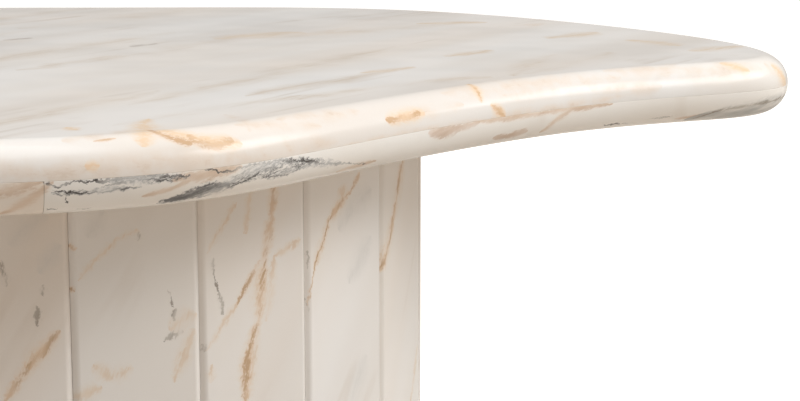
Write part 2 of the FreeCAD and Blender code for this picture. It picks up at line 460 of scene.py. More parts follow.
def build_stave(k, outer, inner):
    """One stave: its eased plan carried up in four rows, with the ends eased by a small chamfer.

    Its place in the block is the way along its face, the height and the depth behind the face.
    """
    after = (k + 1) % STAVE_COUNT
    left, right = outer[k], outer[after]
    loop, outward = eased(np.array((left, right, inner[after], inner[k])), STAVE_RADII, GLUED_SIDES)
    insets = np.array((EASE, 0, 0, EASE)) / 2
    heights = np.array((stave_low.z, stave_low.z + EASE / 2, stave_high.z - EASE / 2, stave_high.z))
    points = set_in(loop, outward, insets, heights)
    piece = make_piece(f"marble_stave_{k + 1:02d}", points, tube_faces(*points.shape[:2]))

    along = unit(right - left)
    inward = np.array((-along[1], along[0]))
    offset = points.reshape(-1, 3) - (*(left + right) / 2, 0)
    face_way = offset[:, :2] @ along + k * BENCH_STEP
    give_vectors(piece, "block", np.stack((face_way, offset[:, 2], offset[:, :2] @ inward), axis=-1))
    return piece


staves = []
for k in range(STAVE_COUNT):
    stave = build_stave(k, outer_corners, inner_corners)
    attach(stave, "base")
    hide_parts(f"stave_{k + 1:02d}")
    staves.append(stave)
print("staves:", len(staves), "with", sum(len(stave.data.polygons) for stave in staves), "faces")

# %% [markdown]
# ## Node helpers
# A procedural finish is a sum written as nodes. Each node could be placed and wired by hand in the
# editor, but a page of that can't be read. These helpers let a sum read like one: each adds a node,
# links the sockets that it is given and sets the plain numbers.

# %% Nodes as sums
def link(source, target):
    """Links one socket to another in the tree that both are from."""
    source.id_data.links.new(source, target)


def add_node(kind, inputs, tree=None, **settings):
    """A shader node in a tree, or in the one that its sockets are from.

    An input that is a socket is linked, a number is set, and a paint is made opaque.
    """
    linked = {key: value for key, value in inputs.items() if isinstance(value, bpy.types.NodeSocket)}
    node = (tree or list(linked.values())[0].id_data).nodes.new(kind)
    for key, value in settings.items():
        setattr(node, key, value)
    for key, value in inputs.items():
        socket = node.inputs[key]
        if key in linked:
            link(value, socket)
        else:
            socket.default_value = (*value, 1) if socket.type == "RGBA" else value
    return node


def calc(operation, *values):
    """One step of arithmetic on numbers or sockets."""
    return add_node("ShaderNodeMath", dict(enumerate(values)), operation=operation).outputs[0]


def times(first, second):
    """One number or socket times another."""
    return calc("MULTIPLY", first, second)


def vector_calc(operation, *values):
    """One step of arithmetic on vectors, which gives a vector or, for a product, a number."""
    node = add_node("ShaderNodeVectorMath", dict(enumerate(values)), operation=operation)
    return node.outputs["Value" if operation == "DOT_PRODUCT" else "Vector"]


def split(vector):
    """The X, Y and Z of a vector."""
    return add_node("ShaderNodeSeparateXYZ", {0: vector}).outputs


def ramp(value, low, high, start=0.0, end=1.0):
    """A smooth step from start to end while the value goes from low to high."""
    inputs = {"Value": value, "From Min": low, "From Max": high, "To Min": start, "To Max": end}
    return add_node("ShaderNodeMapRange", inputs, interpolation_type="SMOOTHSTEP").outputs[0]


def tint(share, first, second):
    """A share of the way from the first colour to the second."""
    inputs = {0: share, 6: first, 7: second}
    return add_node("ShaderNodeMix", inputs, data_type="RGBA").outputs[2]


def stain(colour, mask, strength, paint):
    """A colour with a paint laid over it, as strong as a mask times a strength."""
    return tint(times(mask, strength), colour, paint)


def noise(place, scale, detail=3.0, roughness=0.55):
    """Cloudy noise, with so many clouds to the metre."""
    inputs = {"Vector": place, "Scale": scale, "Detail": detail, "Roughness": roughness}
    return add_node("ShaderNodeTexNoise", inputs).outputs["Fac"]


def centred(value):
    """A noise from nothing to one, moved to lie about zero."""
    return calc("SUBTRACT", value, 0.5)


def along_grain(place, angle, squeeze):
    """A place turned so that X runs along the grain, and squeezed along it, which draws noise out."""
    on_grain = add_node("ShaderNodeMapping", {"Vector": place, "Rotation": (0, 0, -angle)}).outputs[0]
    return vector_calc("MULTIPLY", on_grain, (squeeze, 1.0, 0.5))


print("node helpers for Blender", bpy.app.version_string)

# %% Node groups
def new_group(name, inputs, outputs):
    """An empty shader group with named sockets, and its two end nodes."""
    group = bpy.data.node_groups.new(name, "ShaderNodeTree")
    for direction, sockets in (("INPUT", inputs), ("OUTPUT", outputs)):
        for socket, kind in sockets.items():
            group.interface.new_socket(socket, in_out=direction, socket_type="NodeSocket" + kind)
    return group, group.nodes.new("NodeGroupInput").outputs, group.nodes.new("NodeGroupOutput").inputs


def use_group(group, **inputs):
    """Places a group with its own values, and gives its outputs."""
    return add_node("ShaderNodeGroup", inputs, node_tree=group).outputs


print("node groups so far:", len(bpy.data.node_groups))

# %% [markdown]
# ## What marble is made of
# Polished marble is a cloudy, faintly crystalline body crossed by veins. The body and the
# crystals are noise, which suits what has no plan. The veins that catch the eye are another
# matter: noise never puts one in the right place, so each is a streak with two ends and a width.
# All of these are groups, because slab, strips and staves are cut from the same stone.
#
# No vein is ruled, so the first group says how far one strays sideways from its straight line: a
# broad swing and a fine shiver.

# %% Group: wander
SWING_REACH = 0.022
SHIVER_REACH = 0.006

wander_group, given, result = new_group("wander", {"Place": "Vector"}, {"Stray": "Float"})
swing = centred(noise(given["Place"], 24.0, 2.0))
shiver = centred(noise(given["Place"], 140.0, 4.0, 0.6))
stray = calc("MULTIPLY_ADD", swing, SWING_REACH, times(shiver, SHIVER_REACH))
link(stray, result["Stray"])
print("group:", wander_group.name, "with", len(wander_group.nodes), "nodes")

# %% [markdown]
# ### A streak
# Along is the share of the way from one end to the other and Aside the distance from the line. The
# streak is widest in the middle and closes at both ends, as an ellipse does, and the mask falls
# evenly from one on the line to nothing at its edge. A painted picture could hold it too, but a sum
# stays sharp from close by.

# %% Group: streak
LEAST_REACH = 1e-6

streak_inputs = dict.fromkeys(("Along", "Aside", "Half Width", "Stray"), "Float")
streak_group, given, result = new_group("streak", streak_inputs, {"Mask": "Float"})
left_over = calc("SUBTRACT", 1.0, given["Along"])
arch = calc("MAXIMUM", times(given["Along"], left_over), 0.0)
reach = times(calc("SQRT", arch), times(given["Half Width"], 2.0))
distance = calc("ABSOLUTE", calc("ADD", given["Aside"], given["Stray"]))
share_out = calc("DIVIDE", distance, calc("MAXIMUM", reach, LEAST_REACH))
nearness = calc("SUBTRACT", 1.0, share_out)
link(calc("MAXIMUM", nearness, 0.0), result["Mask"])
print("group:", streak_group.name, "with", len(streak_group.nodes), "nodes")

# %% [markdown]
# ### The body of the stone
# Clouds of white, cream and blush, and soft bands and thin threads along the bed of the stone: noise
# drawn out in one direction, whose middle level is traced as a thread. Wave textures make bands too,
# but too even ones. Crystals are fine noise, for the colour and the bump.

# %% Group: stone body
BED_TURN = math.radians(60)
PALE, CREAM, MILK = (0.810, 0.775, 0.735), (0.820, 0.765, 0.705), (0.875, 0.855, 0.835)
BLUSH, BAND, THREAD = (0.830, 0.675, 0.540), (0.640, 0.555, 0.475), (0.540, 0.430, 0.330)
SPARKLE = (0.95, 0.94, 0.92)
BLUSH_SHIFT, BAND_SHIFT, THREAD_SHIFT = (3.1, 0.7, 1.9), (7.7, 1.2, 4.1), (0.3, 5.2, 2.4)

body_group, given, result = new_group(
    "stone_body", {"Place": "Vector", "Bands": "Float", "Blush": "Float"},
    {"Colour": "Color", "Crystal": "Float"})
drawn_out = along_grain(given["Place"], BED_TURN, 0.09)
cloud = ramp(noise(given["Place"], 6.0, 0.5), 0.32, 0.68)
milk = ramp(noise(drawn_out, 10.0, 2.0), 0.40, 0.66)
blush = ramp(noise(vector_calc("ADD", drawn_out, BLUSH_SHIFT), 8.0), 0.46, 0.74)
band = ramp(noise(vector_calc("ADD", drawn_out, BAND_SHIFT), 12.0, 2.0), 0.48, 0.76)
level = noise(vector_calc("ADD", drawn_out, THREAD_SHIFT), 8.0, 4.0)
thread = ramp(calc("ABSOLUTE", centred(level)), 0.0, 0.022, 1.0, 0.0)
thread = times(thread, ramp(noise(given["Place"], 13.0, 2.0), 0.45, 0.70))
crystal = noise(given["Place"], 900.0, 2.0)
colour = tint(cloud, PALE, CREAM)
colour = stain(colour, milk, 0.5, MILK)
colour = stain(colour, blush, given["Blush"], BLUSH)
colour = stain(colour, band, given["Bands"], BAND)
colour = stain(colour, thread, given["Bands"], THREAD)
colour = tint(ramp(crystal, 0.40, 0.75, 0.0, 0.05), colour, SPARKLE)
link(colour, result["Colour"])
link(crystal, result["Crystal"])
print("group:", body_group.name, "with", len(body_group.nodes), "nodes")

# %% [markdown]
# ### Frayed veins
# A streak's even mask is made uneven by noise, lobes for its broad shape and fibres along it. The
# halo is a stain that fades out softly. The core is what rises above a level, so a high level leaves
# a thin broken line and a low one a dense patch. The scribble is a tangle of hairlines inside the
# streak, where noise crosses its middle level. Place comes drawn out along the vein, so that fibres
# and hairlines run the way that it runs. Tear says how rough all of it is.

# %% Group: fray
fray_group, given, result = new_group(
    "fray", {"Place": "Vector", "Mask": "Float", "Tear": "Float", "Level": "Float"},
    {"Core": "Float", "Halo": "Float", "Scribble": "Float"})
fibre = noise(given["Place"], 760.0, 4.0, 0.65)
lobe = noise(given["Place"], 190.0)
grit = noise(given["Place"], 2600.0, 2.0)
uneven = calc("SUBTRACT", calc("ADD", fibre, lobe), 1.0)
lively = times(given["Mask"], calc("MULTIPLY_ADD", uneven, given["Tear"], 1.0))
halo = ramp(lively, 0.0, 1.25)
gritty = calc("MULTIPLY_ADD", centred(grit), 0.6, uneven)
torn = calc("MULTIPLY_ADD", gritty, given["Tear"], given["Mask"])
above = calc("SUBTRACT", torn, given["Level"])
patchy = ramp(noise(given["Place"], 90.0), 0.36, 0.64, 0.2, 1.0)
patchy = times(patchy, ramp(given["Mask"], 0.0, 0.45))
core = times(ramp(above, 0.0, 0.36), patchy)
ridge = calc("ABSOLUTE", centred(noise(given["Place"], 520.0, 5.0, 0.70)))
hair = times(ramp(ridge, 0.0, 0.10, 1.0, 0.0), patchy)
scribble = times(hair, ramp(lively, 0.10, 0.60))
link(core, result["Core"])
link(halo, result["Halo"])
link(scribble, result["Scribble"])
print("group:", fray_group.name, "with", len(fray_group.nodes), "nodes")

# %% [markdown]
# ### Laying veins on a piece
# The veins of a slab are drawn on it by the quarry, and a maker only chooses where to cut. Here each
# vein is a row of numbers in millimetres: two ends and a half width. A vein with a bend is a path of
# such streaks. A look of vein is its tear, the level of its core, and the paint and the strength
# first of its halo and then of its core.

# %% Finishes and places
JAG_REACH = 0.006


def new_finish(name):
    """A material with a bare shader, its tree and its shader's inputs."""
    material = bpy.data.materials.new(name)
    material.use_nodes = True
    return material, material.node_tree, material.node_tree.nodes["Principled BSDF"].inputs


def stored_vector(tree, name):
    """A vector that the piece's mesh holds on every point."""
    return add_node("ShaderNodeAttribute", {}, tree, attribute_name=name).outputs["Vector"]


def edge_place(tree):
    """How far along the rim this point is, and how far up from the seam, in metres."""
    return add_node("ShaderNodeUVMap", {}, tree, uv_map="edge").outputs["UV"]


def wandering(place, share):
    """How far a vein strays at a place: a share of the wander."""
    return times(use_group(wander_group, Place=place)["Stray"], share)


def jagged(place, stray):
    """A stray with small sharp steps added, as a fracture has."""
    jag = centred(noise(place, 260.0, 3.0, 0.6))
    return calc("MULTIPLY_ADD", jag, JAG_REACH, stray)


print(f"a vein strays up to {(SWING_REACH + SHIVER_REACH + JAG_REACH) / 2:.3f} m to either side")

# %% Streaks at set places
MM = 0.001
OVERLAP_SHARE = 0.25


def strongest(masks):
    """The largest of several masks at each point."""
    result = masks[0]
    for mask in masks[1:]:
        result = calc("MAXIMUM", result, mask)
    return result


def rows_between(ends, half_widths):
    """Streaks from each point of a path to the next, a little too long, so that they run together."""
    run = (ends[1:] - ends[:-1]) * OVERLAP_SHARE
    return np.column_stack((ends[:-1] - run, ends[1:] + run, half_widths))


def path_rows(*paths):
    """Streaks along paths, each of them a half width and the points that it passes."""
    return np.concatenate([rows_between(np.array(points, float), np.full(len(points) - 1, half_width))
                           for half_width, *points in paths])


def streak_frame(row):
    """A streak's start, the step for the share along it, the way aside and the half width, in metres.

    The share along is the product of a place with the run over the run squared, and the distance
    aside is the product with the run turned a right angle, both counted from the start.
    """
    start, end = np.array(row[:4], float).reshape(2, 2) * MM
    run = end - start
    sideways = np.array((-run[1], run[0])) / math.hypot(*run)
    return start, run / (run @ run), sideways, row[4] * MM


def placed_streaks(place, stray, rows):
    """The strongest of streaks at set places, each from x, y to x, y with a half width."""
    masks = []
    for row in rows:
        start, ahead, sideways, half_width = streak_frame(row)
        values = {"Half Width": half_width, "Stray": stray}
        for name, way in (("Along", ahead), ("Aside", sideways)):
            product = vector_calc("DOT_PRODUCT", place, (*way, 0))
            values[name] = calc("SUBTRACT", product, start @ way)
        masks.append(use_group(streak_group, **values)["Mask"])
    return strongest(masks)


print("streaks of a path overlap by", OVERLAP_SHARE, "of their length at each end")

# %% Veins and polish
POLISH_LOW, POLISH_HIGH = 0.16, 0.21
CRYSTAL_DEPTH = 0.0003


def vein(colour, place, mask, look):
    """Lays a frayed vein over a colour: first its stain, then its core."""
    tear, level, halo_paint, halo_strength, core_paint, core_strength = look
    frayed = use_group(fray_group, Place=place, Mask=mask, Tear=tear, Level=level)
    colour = stain(colour, frayed["Halo"], halo_strength, halo_paint)
    return stain(colour, frayed["Core"], core_strength, core_paint)


def link_finish(shader, colour, gloss, height, strength, depth):
    """Links a finish to the shader: its colour, its roughness, and a height as a bump."""
    bump = add_node("ShaderNodeBump", {"Height": height, "Strength": strength, "Distance": depth})
    link(colour, shader["Base Color"])
    link(gloss, shader["Roughness"])
    link(bump.outputs["Normal"], shader["Normal"])


def polish(shader, colour, place, crystal):
    """Polished stone: a faint cloudiness in the gloss and a bump of crystals."""
    cloudy = ramp(noise(place, 16.0, 1.0), 0.3, 0.7, POLISH_LOW, POLISH_HIGH)
    link_finish(shader, colour, cloudy, crystal, 0.01, CRYSTAL_DEPTH)


print("polish between", POLISH_LOW, "and", POLISH_HIGH, "rough")

# %% [markdown]
# ## Marble of the slab
# On the flat of the top, beige drifts run away from the viewer along the bed of the stone, with peach
# stains and a few grey specks between them. Over the round of the edge the stone is whiter, washed
# with peach and filled with honey and rust. One noise could give the manner of it, but not this
# table's own marks, so veins on the flat are placed in plan, and those on the edge by the way along
# the rim and up from the seam. Along the rest of the edge, noise stands in for the placed washes.

# %% Slab veins
FLAT_DRIFTS = (
    (50, -55, 170, 170, 28), (95, -90, 260, 175, 26), (40, 195, 155, 360, 37), (190, -260, 345, 65, 23),
    (190, -340, 290, -215, 18), (280, -235, 390, -120, 16), (255, -220, 345, -85, 19),
    (230, 110, 415, 255, 28), (120, -360, 200, -190, 18), (420, -120, 455, 10, 16),
    (430, -110, 500, 25, 19), (360, -150, 405, -120, 16), (-60, -360, 80, -90, 24),
    (-90, -100, 50, 180, 28), (-205, -290, -35, 0, 23), (-180, 20, -40, 300, 33),
    (-320, -220, -180, 60, 26), (-355, 50, -185, 340, 32), (-470, -160, -330, 120, 24),
    (-500, 100, -370, 310, 26), (-595, -95, -485, 145, 23), (-35, 200, 75, 400, 28),
)
DRIFT_LOOK = (1.2, 0.80, (0.68, 0.57, 0.46), 0.72, (0.56, 0.45, 0.35), 0.28)
FLAT_SPECKS = (
    (148, 60, 165, 84, 9), (46, 104, 61, 126, 10), (-232, 118, -220, 142, 9), (-410, -30, -396, -2, 8),
)
FLAT_SPECK_LOOK = (1.4, 0.50, (0.58, 0.52, 0.46), 0.60, (0.36, 0.32, 0.28), 0.55)
FLAT_STAINS = (
    (206, 112, 268, 172, 30), (322, -104, 356, -66, 14), (360, 236, 420, 250, 22),
    (458, 120, 506, 168, 20), (520, 110, 556, 66, 20), (556, 30, 600, 66, 24), (378, -4, 416, 36, 15),
    (-145, -170, -105, -100, 24), (-395, 30, -355, 110, 26), (-265, 260, -200, 320, 26),
)
FLAT_STAIN_LOOK = (1.2, 0.66, (0.76, 0.61, 0.46), 0.90, (0.66, 0.50, 0.36), 0.25)
EDGE_WASHES = (
    (2568, 64, 2575, 48, 12), (2569, 5, 2580, 11, 10), (2692, 56, 2673, 18, 8), (2668, 25, 2730, 14, 8),
    (2670, 8, 2740, 3, 9), (2798, 11, 2862, 11, 8), (2400, 6, 2730, 3, 13), (2606, 8, 2640, 2, 9),
    (2700, 24, 2770, 20, 10), (2980, 10, 3040, 8, 10), (2884, 1, 2962, 0, 6), (2940, 0, 3016, 5, 6),
    (2735, 0, 2890, 0, 4), (3138, 20, 3160, -2, 16), (2560, 24, 2620, 40, 12), (2900, 14, 2960, 12, 10),
    (2850, 24, 3010, 18, 20), (3000, 26, 3130, 16, 20),
)
WASH_PAINT, WASH_STRENGTH = (0.79, 0.64, 0.51), 0.45
WASH_LOOK = (1.2, 0.75, (0.72, 0.57, 0.44), 0.22, (0.58, 0.42, 0.29), 0.22)
EDGE_FILLS = (
    (2632, 74, 2602, 16, 16), (2612, 32, 2640, 15, 11), (2630, 18, 2664, 11, 9),
    (2786, 10, 2824, 10.5, 9), (2886, 33, 2878, 11, 7), (2886, 9, 2899, 0, 8), (3146, 18, 3160, 0, 12),
    (2568, 64, 2575, 52, 9), (2570, 8, 2578, 7.5, 5), (3096, 26, 3116, 14, 9),
)
FILL_LOOK = (1.2, 0.62, (0.85, 0.63, 0.42), 0.92, (0.78, 0.54, 0.34), 0.40)
EDGE_LINES = path_rows(
    (6, (2614, 32), (2616, 24), (2622, 19), (2630, 15)),
    (6, (2632, 20), (2635, 15), (2645, 11), (2653, 13), (2658, 14)),
    (5, (2789, 10), (2800, 9.5), (2810, 9.5), (2818, 10.5)), (4, (2885, 29), (2880, 15)),
    (5, (2889, 7), (2897, 2)), (2.5, (2579, 23), (2588, 24)),
)
EDGE_LINE_LOOK = (1.0, 0.46, (0.82, 0.58, 0.38), 0.65, (0.56, 0.34, 0.18), 0.75)
print("slab veins:", len(FLAT_DRIFTS), "drifts,", len(EDGE_WASHES), "washes,", len(EDGE_LINES), "edge lines")

# %% Slab marble
PICTURED_FROM, PICTURED_TO, PICTURED_FADE = 2.48, 3.20, 0.04
EDGE_GRAIN_TURN = math.radians(-10)

slab_marble, tree, shader = new_finish("slab_marble")
place = stored_vector(tree, "block")
edge = edge_place(tree)
bed = along_grain(place, BED_TURN, 0.08)
edge_grain = along_grain(edge, EDGE_GRAIN_TURN, 0.45)
stray = use_group(wander_group, Place=place)["Stray"]
edge_stray = wandering(edge, 0.22)
body = use_group(body_group, Place=place, Bands=0.42, Blush=0.35)
drifts = placed_streaks(place, stray, FLAT_DRIFTS)
coming_and_going = ramp(noise(place, 14.0, 2.0), 0.35, 0.65, 0.40, 1.0)
colour = vein(body["Colour"], bed, times(drifts, coming_and_going), DRIFT_LOOK)
for rows, look in ((FLAT_SPECKS, FLAT_SPECK_LOOK), (FLAT_STAINS, FLAT_STAIN_LOOK)):
    colour = vein(colour, bed, placed_streaks(place, stray, rows), look)
walk = split(edge)["X"]
pictured = times(ramp(walk, PICTURED_FROM - PICTURED_FADE, PICTURED_FROM),
                 ramp(walk, PICTURED_TO, PICTURED_TO + PICTURED_FADE, 1.0, 0.0))
elsewhere = ramp(noise(along_grain(place, BED_TURN, 0.5), 11.0, 4.0), 0.58, 0.74)
elsewhere = times(elsewhere, calc("SUBTRACT", 1.0, pictured))
washes = strongest((placed_streaks(edge, edge_stray, EDGE_WASHES), elsewhere))
washes = times(washes, ramp(noise(edge, 60.0), 0.35, 0.65, 0.35, 1.0))
colour = stain(colour, ramp(washes, 0.0, 1.0), WASH_STRENGTH, WASH_PAINT)
colour = vein(colour, edge_grain, washes, WASH_LOOK)
for rows, look in ((EDGE_FILLS, FILL_LOOK), (EDGE_LINES, EDGE_LINE_LOOK)):
    colour = vein(colour, edge_grain, placed_streaks(edge, edge_stray, rows), look)
polish(shader, colour, place, body["Crystal"])
slab.data.materials.append(slab_marble)
print("slab marble:", len(tree.nodes), "nodes")

# %% [markdown]
# ## Marble of the strips
# The strips come from the darker side of the block. A charcoal vein breaks out in jagged lines along
# the seam, with tangles of hairlines and a dense wedge below it, and there are tan lines, brown blots
# and a grey cloud under the tip. Their body is mixed towards a pale cream, which is painted light: it
# brightens the underside of the edge beyond what its light gives. It is one material for all strips:
# each mesh stores how blushed and how smoky its strip is, and the last ring at its ends is darkened
# with painted shade, the shade of the hairline where two strips meet.

# %% Strip veins
CHARCOAL = (0.085, 0.083, 0.082)
SMOKE_LINES = path_rows(
    (1.4, (2549, -0.6), (2555, -3), (2562, -0.8), (2572, -0.6), (2587, -0.8)),
    (1.8, (2578, -1), (2602, -0.6), (2623, -1.6)), (1.2, (2582, -4), (2599, -2.5), (2612, -3.5)),
    (1.2, (2556, -6), (2569, -7.2), (2579, -7.6), (2596, -6)), (0.8, (2551, -18.5), (2555, -18.6)),
    (0.8, (2567, -20.5), (2573, -20.2)), (0.9, (2560, -9), (2560, -13)),
    (1.4, (2638, -0.4), (2648, -2.6), (2657, -2.4), (2668, -0.7), (2684, -0.8), (2696, -1.6), (2712, -4)),
    (1.8, (2690, -1.2), (2707, -3.6), (2724, -7.6), (2742, -11)), (1.3, (2736, -10), (2764, -15)),
    (1.0, (2684, -10), (2696, -11), (2705, -8.4)),
    (1.2, (2648, -12), (2657, -10.7), (2664, -7.6), (2677, -2.4)),
    (1.0, (2655, -13), (2664, -10), (2676, -5), (2690, -2)), (1.4, (3005, -18.5), (3021, -18.7)),
    (1.0, (3040, -15), (3054, -14.6)),
)
SMOKE_LOOK = (1.6, 0.36, (0.54, 0.52, 0.50), 0.50, (0.05, 0.045, 0.04), 0.97)
SMOKE_TANGLES = (
    (2642, -14, 2682, -1, 6.0), (2652, -10, 2696, -1, 6.0), (2676, -9.5, 2712, -7.5, 4.5),
    (2690, -2, 2744, -11, 4.5), (2582, -2, 2628, -2.5, 3.6), (2552, -7, 2598, -6.5, 2.6),
    (2610, -20.5, 2660, -10.5, 7.5), (2624, -15, 2650, -11, 6.0),
)
TANGLE_PAINT = (0.55, 0.56, 0.57)
SMOKE_PATCHES = (
    (2614, -18.5, 2654, -11, 6.6), (2627, -14, 2652, -11.5, 6.2),
)
PATCH_LOOK = (1.6, 0.16, (0.36, 0.36, 0.37), 0.60, CHARCOAL, 0.95)
TAN_LINES = path_rows(
    (7.2, (2496, -16), (2526, -6), (2545, -0.4)), (6, (2530, -19), (2549, -4)),
    (3.4, (2604, -12), (2618, -8.5), (2634, -2.4)), (7.2, (2624, -3.4), (2654, -1.6)),
    (4.8, (2750, -18), (2774, -15.6)), (4.2, (2880, -0.4), (2934, -1.2), (2985, -0.6)),
    (5.4, (2960, -1.6), (2948, -7.4), (2942, -15)),
)
TAN_LOOK = (0.9, 0.42, (0.74, 0.54, 0.38), 0.60, (0.50, 0.31, 0.18), 0.52)
BLOTS = (
    (2824, -2.4, 2854, -2.8, 8.0), (2846, -2.4, 2874, -0.8, 4.5), (2893, -14, 2910, -15.5, 4.5),
    (2905, -15, 2926, -13.4, 6.0), (3064, -18, 3088, -16.4, 3.5),
)
BLOT_LOOK = (1.0, 0.28, (0.72, 0.55, 0.43), 0.70, (0.52, 0.35, 0.24), 0.66)
TIP_CLOUDS = (
    (3076, -19, 3200, -14, 14.0),
)
TIP_CLOUD_LOOK = (1.4, -0.10, (0.60, 0.58, 0.55), 0.50, (0.38, 0.38, 0.36), 0.85)
TIP_BORDER = path_rows(
    (2.6, (3084, -19), (3092, -13), (3106, -11.5), (3124, -9.5), (3142, -8.8), (3164, -8.2)),
)
TIP_BORDER_LOOK = (1.6, 0.45, (0.42, 0.36, 0.28), 0.55, (0.20, 0.16, 0.12), 0.70)
print("strip veins:", len(SMOKE_LINES), "charcoal lines,", len(TAN_LINES), "tan lines,", len(BLOTS), "blots")

# %% Strip marble
STRIP_BLUSH = (0.35, 0.15, 0.50, 0.25, 0.10, 0.45, 0.80, 0.12)
STRIP_SMOKE = (0.30, 0.90, 0.15, 0.00, 0.70, 0.25, 0.00, 0.00)
STRIP_GRAIN_TURN = math.radians(16)
# The first paint is painted light, a pale cream that lifts the underside of the edge; the third is painted
# shade for the hairline where two strips meet.
STRIP_PAINTED_LIGHT, STRIP_PEACH, JOINT_SHADE = (0.90, 0.865, 0.80), (0.78, 0.62, 0.48), (0.16, 0.12, 0.09)
SECTION_POINTS = ROUND_STEPS + FLAT_STEPS + 4
QUIET_VEINS = (
    (TAN_LINES, TAN_LOOK), (BLOTS, BLOT_LOOK), (TIP_CLOUDS, TIP_CLOUD_LOOK), (TIP_BORDER, TIP_BORDER_LOOK),
)

for strip, blush, smoke in zip(strips, STRIP_BLUSH, STRIP_SMOKE):
    tones = np.tile((blush, smoke, 0.0), (len(strip.data.vertices), 1))
    # The third number marks each strip's end rings, which get painted shade for the hairline where two
    # strips meet.
    tones[:SECTION_POINTS, 2] = tones[-SECTION_POINTS:, 2] = 1
    give_vectors(strip, "tone", tones)

strip_marble, tree, shader = new_finish("strip_marble")
place = stored_vector(tree, "block")
edge = edge_place(tree)
fibres = along_grain(edge, STRIP_GRAIN_TURN, 0.34)
stray = wandering(edge, 0.13)
jagged_stray = jagged(edge, stray)
tone = split(stored_vector(tree, "tone"))
body = use_group(body_group, Place=place, Bands=0.30, Blush=tone["X"])
# Painted light: the body is mixed towards pale cream, so the underside of the edge reads brighter than its
# light makes it.
colour = tint(0.40, body["Colour"], STRIP_PAINTED_LIGHT)
colour = stain(colour, tone["X"], 0.40, STRIP_PEACH)
for rows, look in QUIET_VEINS:
    colour = vein(colour, fibres, placed_streaks(edge, stray, rows), look)
tangles = placed_streaks(edge, jagged_stray, SMOKE_TANGLES)
tangles = use_group(fray_group, Place=fibres, Mask=tangles, Tear=1.0, Level=0.9)
colour = stain(colour, tangles["Halo"], 0.45, TANGLE_PAINT)
colour = stain(colour, tangles["Scribble"], 0.92, CHARCOAL)
colour = vein(colour, fibres, placed_streaks(edge, jagged_stray, SMOKE_PATCHES), PATCH_LOOK)
feathers = times(ramp(noise(fibres, 30.0, 4.0), 0.52, 0.72), tone["Y"])
lines = strongest((placed_streaks(edge, jagged_stray, SMOKE_LINES), feathers))
colour = vein(colour, fibres, lines, SMOKE_LOOK)
# Painted shade: the end rings are darkened, as the hairline between two strips is in shade.
colour = stain(colour, tone["Z"], 0.8, JOINT_SHADE)
polish(shader, colour, place, body["Crystal"])
for strip in strips:
    strip.data.materials.append(strip_marble)
print("strip marble:", len(tree.nodes), "nodes")

# %% [markdown]
# ## Veins of the staves
# Each stave was cut from another part of the block, so no vein runs on into its neighbour. A material
# for each of them would do, but twenty-six would be much to read. So the veins of a stave are
# numbers stored in its own mesh, from its middle and its foot. The staves that face the camera have
# theirs listed one by one, and the others are drawn by lot from the same kinds of vein.

# %% Stave veins
VEIN_SLOTS = {"rust": 7, "honey": 8, "speck": 4, "cloud": 3}
NO_VEIN = (0, -900, 0, -800, 1)
PLACED_VEINS = {
    21: {
        "rust": ((0, 230, 9, 243, 5.4), (7, 241, 19, 255, 6.3), (17, 252, 34, 270, 7.3),
                 (-16, 200, 2, 232, 5.8)),
        "honey": ((12, 250, 26, 262, 10.4), (-30, 40, -12, 210, 12.5)),
        "speck": ((22, 286, 22, 273, 3.5), (26, 298, 25, 291, 3.1), (0, 314, 4, 298, 5)),
        "cloud": ((6, 322, 28, 340, 12.6), (22, 305, 36, 321, 9.8)),
    },
    22: {
        "rust": ((-41, 318.5, -36, 317, 3.4), (-41, 294.5, -37.5, 293, 2.8)),
        "honey": ((-35, 298, -24, 312, 4.2), (-26, 309, -11, 322, 4.2), (-14, 321, 3, 325, 4.2),
                  (-28, 248, -16, 237, 8.3), (-19, 238, -3, 242, 8.3), (-41, 227, -23, 233, 8.3),
                  (20, 262, 38, 271, 12.5), (22, 230, 36, 262, 8.3)),
        "speck": ((2, 325, 1, 319, 3.1), (23, 276, 22, 268, 4.3), (19, 288, 22, 276, 1.4),
                  (16, 256, 29, 261, 3.9)),
        "cloud": ((-30, 324, -20, 340, 9.8),),
    },
    23: {
        "rust": ((16, 357, 12, 322, 6.8), (13, 326, 7, 296, 7.3), (8, 304, 5, 280, 6.3),
                 (6, 288, 1, 258, 5.8), (2, 262, -6, 238, 5.4), (-5, 243, -8, 208, 6.8),
                 (4, 298, -14, 272, 3.9)),
        "honey": ((7, 296, 1, 256, 12.5), (-2, 344, -7, 315, 4.9), (-13, 336, -36, 307, 4.5),
                  (-12, 275, -38, 247, 4.9), (36, 306, 15, 297, 5.5), (16, 299, 7, 258, 6.2),
                  (-1, 258, -8, 208, 10.4), (-33, 238, -34, 226, 5.2)),
        "speck": ((-31, 304, -30, 293, 3.2), (-30, 294, -27, 278, 1.4), (-27, 281, -25, 267, 3.8),
                  (-40, 251, -38, 246, 3.4)),
    },
    24: {
        "rust": ((16, 340, 3, 328, 3.8), (5, 331, -19, 314, 4.2), (-17, 317, -32, 288, 3.2),
                 (-31, 294, -38, 262, 2.0)),
        "honey": ((-8, 333, 2, 325, 10.4), (4, 331, -20, 313, 8.3), (-18, 318, -33, 284, 7.3)),
        "speck": ((-39, 298, -38, 286, 1.8), (-39, 268, -38, 258, 1.6)),
        "cloud": ((-8, 306, 28, 328, 16.8), (2, 270, 28, 296, 14), (4, 188, 22, 218, 14)),
    },
    25: {
        "rust": ((3, 342, -14, 311, 4.3), (-12, 315, -28, 285, 4.9), (-26, 289, -45, 266, 5.4)),
        "honey": ((4, 340, -20, 300, 14.6), (-18, 306, -40, 270, 12.5), (35, 202, 18, 162, 4.9)),
    },
}
print("staves with placed veins:", sorted(PLACED_VEINS))

